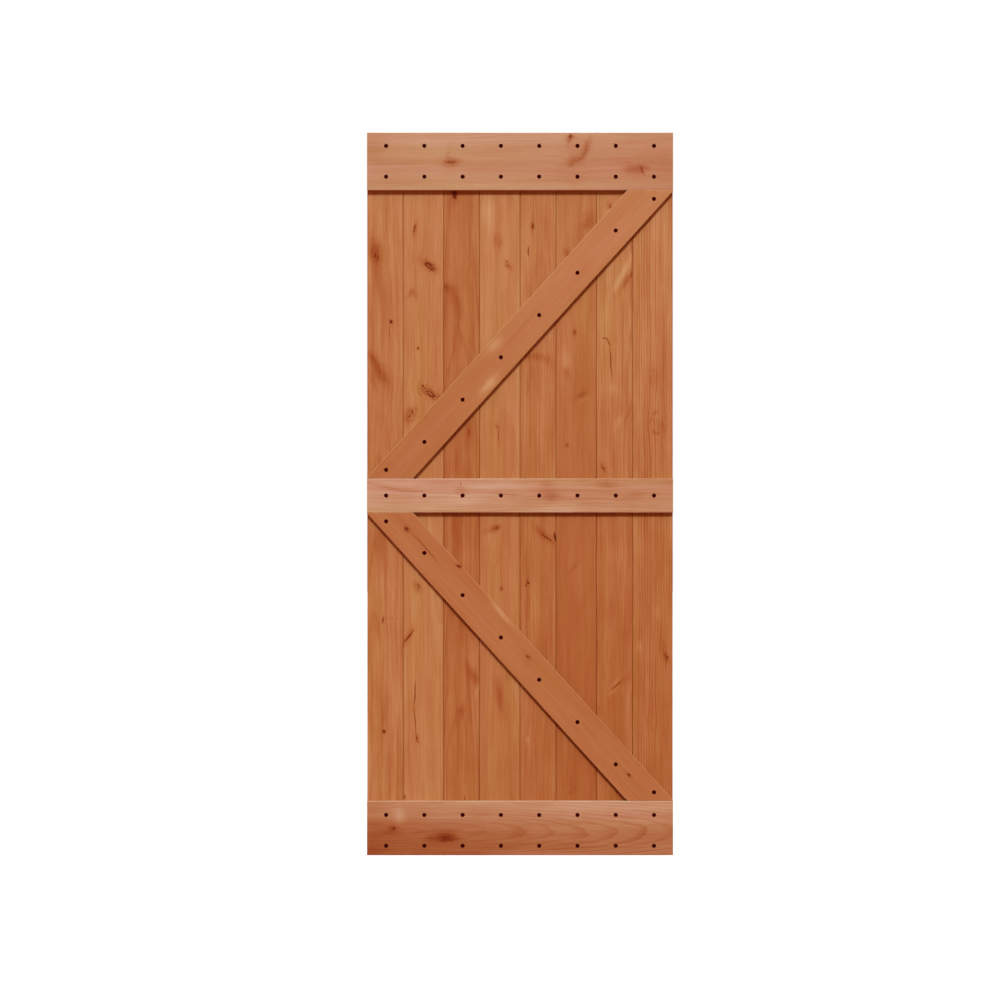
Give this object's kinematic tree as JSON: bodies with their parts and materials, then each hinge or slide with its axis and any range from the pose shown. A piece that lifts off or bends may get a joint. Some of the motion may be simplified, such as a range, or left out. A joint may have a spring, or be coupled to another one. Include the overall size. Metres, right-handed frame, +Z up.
{
  "type": "sliding barn door",
  "caption": "Solid wood sliding barn door slab of tongue and groove planks, with rails and K braces screwed on the front.",
  "frame": {"origin": "centre of the door's bottom edge, halfway through its thickness", "axes": "+Z up, +X to the right seen from the front, front face towards -Y"},
  "size_m": [0.904, 0.035, 2.134],
  "materials": {
    "plank_wood": "knotty softwood, stained warm orange brown, satin",
    "rail_wood": "knotty softwood, stained warm orange brown, satin",
    "brace_wood": "knotty softwood, stained warm orange brown, satin",
    "screw_black": "black phosphate"
  },
  "bodies": {
    "root": {"plank_1": "plank_wood", "plank_2": "plank_wood", "plank_3": "plank_wood", "plank_4": "plank_wood", "plank_5": "plank_wood", "plank_6": "plank_wood", "plank_7": "plank_wood", "plank_8": "plank_wood", "top_rail": "rail_wood", "middle_rail": "rail_wood", "bottom_rail": "rail_wood", "upper_brace": "brace_wood", "lower_brace": "brace_wood", "top_rail_screws": "screw_black", "middle_rail_screws": "screw_black", "bottom_rail_screws": "screw_black", "upper_brace_screws": "screw_black", "lower_brace_screws": "screw_black"}
  },
  "joints": []
}
